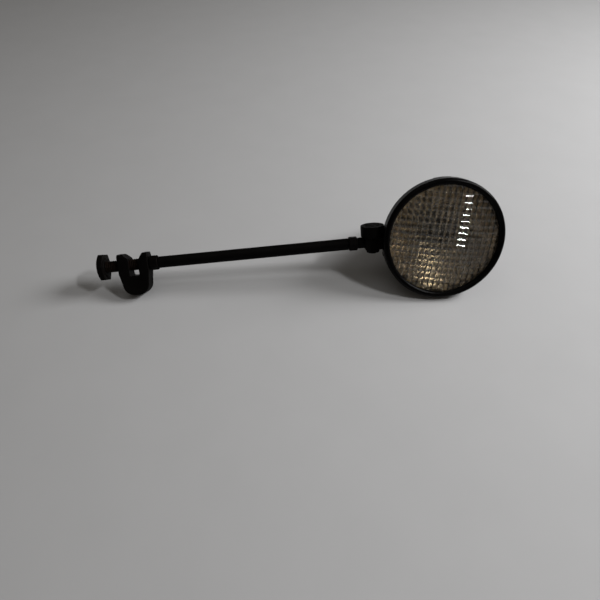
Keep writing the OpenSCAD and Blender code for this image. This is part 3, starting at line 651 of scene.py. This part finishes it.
class LAMP_OT_clamp(Operator):
    """Cast clamp with its threaded screw and six-sided knob"""

    bl_idname = "lamp.clamp"
    bl_label = "Clamp"

    def execute(self, context):
        eased("cast_clamp", "clamp_body", "black_paint", voxel=0.4, rounds=4)
        eased("clamp_knob", "screw_knob", "dark_steel", voxel=0.35, rounds=3, turn=KNOB_TURN)
        size = context.scene.lamp_thread
        rod("clamp_screw", *SCREW_ENDS, size.screw, size.screw_pitch, "screw", "rusty_steel", "screw_shank")
        return {"FINISHED"}


class LAMP_OT_arm(Operator):
    """Round arm with turned-down threaded ends and a lock nut on each"""

    bl_idname = "lamp.arm"
    bl_label = "Arm"

    def execute(self, context):
        size = context.scene.lamp_thread
        for name, ends in STUD_ENDS.items():
            rod(name, *ends, size.stud, size.stud_pitch, "arm", "dark_steel", "arm_rod")
        left, right = BAR_ENDS
        bore, shoulder = size.stud - BAR_SINK, size.bar - ROD_CHAMFER
        outline = [(bore, left), (shoulder, left), (size.bar, left + ROD_CHAMFER)]
        outline += [(size.bar, right - ROD_CHAMFER), (shoulder, right), (bore, right)]
        mesh = revolve("drawn_bar", outline, arm_axes(), ROD_SIDES)
        make_piece("drawn_bar", mesh, "arm", "black_paint", ["arm_rod"])
        for node in ("clamp_jam_nut", "knuckle_jam_nut"):
            eased(node.replace("jam", "lock"), node, "dark_steel", voxel=0.3, rounds=40)
        return {"FINISHED"}


class LAMP_OT_knuckle(Operator):
    """Swivel knuckle: eye on the arm, bracket on the bucket, and the bolt through both"""

    bl_idname = "lamp.knuckle"
    bl_label = "Knuckle"

    def execute(self, context):
        eased("cast_eye", "arm_eye", "black_paint", voxel=0.35, rounds=3)
        start, end = NECK_ENDS
        outline = [(NECK_BORE, start), (NECK_RADIUS - NECK_EASE, start), (NECK_RADIUS, start + NECK_RUN)]
        outline += [(NECK_RADIUS, end), (NECK_BORE, end)]
        mesh = revolve("eye_neck", outline, arm_axes(), ROD_SIDES)
        make_piece("eye_neck", mesh, "knuckle", "black_paint", ["arm_eye"])
        eased("cast_bracket", "lamp_bracket", "black_paint", voxel=0.4, rounds=3)
        eased("swivel_nut", "pivot_nut", "dark_steel", voxel=0.2, rounds=2)
        eased("swivel_bolt", "pivot_bolt", "dark_steel", voxel=0.25, rounds=2)
        eased("saddle_rivets", "bracket_rivets", "dark_steel", voxel=0.2, rounds=4)
        keep("pivot_washer")
        return {"FINISHED"}


class LAMP_OT_bucket(Operator):
    """Pressed bucket, rolled rim, gasket and cable grommet"""

    bl_idname = "lamp.bucket"
    bl_label = "Bucket and Rim"

    def execute(self, context):
        size = context.scene.lamp_head
        at_rim = size.bowl_radius * size.bowl_power / size.bowl_depth

        def lean_at(r):
            """How fast the long curve closes in at a radius."""
            return at_rim * (r / size.bowl_radius) ** ((size.bowl_power - 1) / size.bowl_power)

        def curve(r):
            """Depth of the long curve at a radius."""
            return size.bowl_front + size.bowl_depth * (1 - (r / size.bowl_radius) ** (1 / size.bowl_power))

        ball = size.nose * math.sqrt(1 + lean_at(size.nose) ** 2)
        middle = curve(size.nose) - size.nose * lean_at(size.nose)

        def skin(r, inset):
            """Point of the outline at a radius, this far inside the outer skin."""
            if r >= size.nose:
                depth, lean = curve(r), lean_at(r)
            else:
                depth = middle + math.sqrt(ball**2 - r**2)
                lean = math.sqrt(ball**2 - r**2) / r
            out = math.sqrt(1 + lean**2)
            return (r - inset / out, -depth + inset * lean / out)

        start = size.bowl_radius * (1 - (size.collar_back - size.bowl_front) / size.bowl_depth) ** size.bowl_power
        radii = [start + (size.flat - start) * i / BOWL_STEPS for i in range(BOWL_STEPS + 1)]
        back = skin(size.flat, 0)[1]
        lip = size.collar - size.flange
        profile = [(lip, -size.collar_front), (size.collar, -size.collar_front), (size.collar, -size.collar_back)]
        profile += [skin(r, 0) for r in radii]
        profile += [(size.waist, back), (size.waist, back + size.sheet)]
        profile += [skin(r, size.sheet) for r in reversed(radii)]
        inner = size.collar - size.sheet
        profile += [(inner, -size.collar_back + size.sheet), (inner, -size.collar_front - size.sheet)]
        profile += [(lip, -size.collar_front - size.sheet)]
        mesh = revolve("pressed_bucket", profile, lamp_axes())
        make_piece("pressed_bucket", mesh, "lamp_head", "black_paint", ["housing_bowl"])
        for node in ("retaining_rim", "lens_gasket", "cable_grommet"):
            keep(node)
        return {"FINISHED"}


class LAMP_OT_glass(Operator):
    """Fluted glass: rows on the front, columns behind, and the plain edge that the rim holds"""

    bl_idname = "lamp.glass"
    bl_label = "Glass"

    def execute(self, context):
        size = context.scene.lamp_lens
        tree = flute_tree()
        bm = bmesh.new()
        back = size.proud - size.thickness
        sides = (
            (size.row_pitch, size.row_radius, size.row_flank, size.proud, 1.0, 0.0),
            (size.column_pitch, size.column_radius, size.column_flank, back, -1.0, math.pi / 2),
        )
        for pitch, radius, flank, crest, side, turn in sides:
            inputs = {
                "Radius": size.clear,
                "Pitch": pitch,
                "Step": pitch / size.across,
                "Flute Radius": radius,
                "Knee": radius * math.sin(flank),
                "Flank": math.tan(flank),
                "Dome Radius": size.dome,
                "Crest": crest,
                "Side": side,
                "Across": 2 * math.ceil(size.clear / pitch * size.across) + 1,
                "Along": size.along,
            }
            mesh = grown(tree, inputs, finish("lens_glass"))
            mesh.transform(Matrix.Rotation(size.turn + turn, 4, "Z"))
            if side < 0:
                mesh.flip_normals()
            bm.from_mesh(mesh)
            bpy.data.meshes.remove(mesh)
        glass = mesh_from(bm, "fluted_glass", lamp_axes())
        make_piece("fluted_glass", glass, "lamp_head", "lens_glass", ["lens"], sharp=30)
        inner = size.clear - GLASS_OVERLAP
        edge = [(inner, -size.edge_front), (size.edge, -size.edge_front), (size.edge, -size.edge_back)]
        edge.append((inner, -size.edge_back))
        mesh = revolve("glass_edge", edge, lamp_axes())
        make_piece("glass_edge", mesh, "lamp_head", "lens_glass", ["lens"])
        return {"FINISHED"}


class LAMP_OT_bulb(Operator):
    """Reflector, bulb and bulb socket"""

    bl_idname = "lamp.bulb"
    bl_label = "Reflector and Bulb"

    def execute(self, context):
        size = context.scene.lamp_head

        def depth(r):
            """Depth of the reflector's bright side at a radius."""
            return size.mirror_front + size.mirror_depth * (1 - (r / size.mirror_radius) ** 2)

        def skin(r, out):
            """Point of the outline at a radius, this far outside the bright side."""
            lean = size.mirror_radius**2 / (2 * size.mirror_depth * r)
            run = math.sqrt(1 + lean**2)
            return (r + out / run, -depth(r) - out * lean / run)

        span = size.mirror_flat - size.mirror_radius
        radii = [size.mirror_radius + span * i / MIRROR_STEPS for i in range(MIRROR_STEPS + 1)]
        flat = -depth(size.mirror_flat)
        mouth = context.scene.lamp_lens.edge
        profile = [(mouth, -size.mirror_front)] + [skin(r, 0) for r in radii]
        profile += [(size.mirror_hole, flat), (size.mirror_hole, flat - size.mirror_sheet)]
        profile += [skin(r, size.mirror_sheet) for r in reversed(radii)]
        profile += [(mouth, -size.mirror_front - size.mirror_sheet)]
        mesh = revolve("spun_reflector", profile, lamp_axes())
        make_piece("spun_reflector", mesh, "lamp_head", "polished_aluminium", ["reflector"])
        socket = ("bulb_socket", "socket_insulator", "contact_stud", "terminal_nut")
        for node in socket + ("bulb_base", "bulb_glass", "filament"):
            keep(node)
        return {"FINISHED"}


class LAMP_OT_stage(Operator):
    """Pale floor, soft light and the camera"""

    bl_idname = "lamp.stage"
    bl_label = "Stage"

    def execute(self, context):
        scene, size = context.scene, context.scene.lamp_stage
        self.floor(scene)
        lights = (
            ("key_light", (0.92, -0.44, 1.29), (0.1, 0.25), size.key_power),
            ("side_light", (1.42, 0.18, 1.0), (0.7, 0.7), size.side_power),
            ("fill_light", (-0.4, 0.0, 1.8), (1.0, 1.0), size.fill_power),
        )
        for light in lights:
            self.light(scene, *light)
        self.sky(scene)
        self.camera(scene, size)
        scene.view_settings.view_transform = "Standard"
        return {"FINISHED"}

    def floor(self, scene):
        """A plain matt board."""
        reach = FLOOR_REACH
        corners = [(-reach, -reach, 0), (reach, -reach, 0), (reach, reach, 0), (-reach, reach, 0)]
        mesh = bpy.data.meshes.new("floor")
        mesh.from_pydata(corners, [], [(0, 1, 2, 3)])
        made, tree, shader, place = surface("Painted board, matt")
        look = {
            "Base Color": blend(tree, noise(tree, place, 60), "#b4b4b5", "#b9b9ba"),
            "Roughness": 0.9,
            "Specular IOR Level": 0.1,
        }
        fill(tree, shader, look)
        mesh.materials.append(made)
        floor = bpy.data.objects.new("floor", mesh)
        scene.collection.objects.link(floor)

    def light(self, scene, name, place, spans, power):
        """A rectangular lamp that shines at the middle of the floor."""
        data = bpy.data.lights.new(name, "AREA")
        data.shape = "RECTANGLE"
        data.energy = power
        data.size, data.size_y = spans
        light = bpy.data.objects.new(name, data)
        light.location = place
        aim = Vector(place).normalized()
        across = (Vector((1, 0, 0)) - aim * aim.x).normalized()
        light.rotation_euler = Matrix((across, aim.cross(across), aim)).transposed().to_euler()
        scene.collection.objects.link(light)

    def sky(self, scene):
        """A dim room with a brighter ceiling."""
        world = bpy.data.worlds.new("room")
        scene.world = world
        world.use_nodes = True
        tree = world.node_tree
        place = add(tree, "ShaderNodeTexCoord").outputs["Generated"]
        up = add(tree, "ShaderNodeSeparateXYZ", {0: place}).outputs[2]
        room = blend(tree, spread(tree, up, 0.1, 0.85), "#7a756d", "#bcb6ac")
        fill(tree, tree.nodes["Background"], {"Color": room, "Strength": 0.25})

    def camera(self, scene, size):
        """The camera, looking down at the lamp from the front."""
        data = bpy.data.cameras.new("camera")
        data.sensor_width = SENSOR
        data.lens = size.focal
        data.shift_x = -0.0008
        data.clip_start = 0.01
        camera = bpy.data.objects.new("camera", data)
        camera.location = size.eye
        camera.rotation_euler = (size.pitch, 0, size.yaw)
        scene.collection.objects.link(camera)
        scene.camera = camera


class LAMP_PT_panel(Panel):
    """Sidebar panel of the lamp"""

    bl_label = "Tractor Lamp"
    bl_idname = "LAMP_PT_panel"
    bl_space_type = "VIEW_3D"
    bl_region_type = "UI"
    bl_category = "Lamp"

    def draw(self, context):
        for operator in OPERATORS:
            self.layout.operator(operator.bl_idname)
        for name in SETTINGS:
            group = getattr(context.scene, name)
            box = self.layout.box()
            for prop in group.bl_rna.properties:
                if not prop.is_readonly and prop.identifier != "name":
                    box.prop(group, prop.identifier)


SETTINGS = {
    "lamp_lens": LensSettings,
    "lamp_head": HeadSettings,
    "lamp_thread": ThreadSettings,
    "lamp_stage": StageSettings,
}
OPERATORS = (
    LAMP_OT_clamp,
    LAMP_OT_arm,
    LAMP_OT_knuckle,
    LAMP_OT_bucket,
    LAMP_OT_glass,
    LAMP_OT_bulb,
    LAMP_OT_stage,
)


def register():
    for group in SETTINGS.values():
        bpy.utils.register_class(group)
    for name, group in SETTINGS.items():
        setattr(bpy.types.Scene, name, PointerProperty(type=group))
    for item in OPERATORS + (LAMP_PT_panel,):
        bpy.utils.register_class(item)


def unregister():
    for item in reversed(OPERATORS + (LAMP_PT_panel,)):
        bpy.utils.unregister_class(item)
    for name, group in SETTINGS.items():
        delattr(bpy.types.Scene, name)
        bpy.utils.unregister_class(group)


def main():
    """Builds the lamp and its stage."""
    register()
    bpy.ops.lamp.clamp()
    bpy.ops.lamp.arm()
    bpy.ops.lamp.knuckle()
    bpy.ops.lamp.bucket()
    bpy.ops.lamp.glass()
    bpy.ops.lamp.bulb()
    bpy.ops.lamp.stage()


if __name__ == "__main__":
    main()
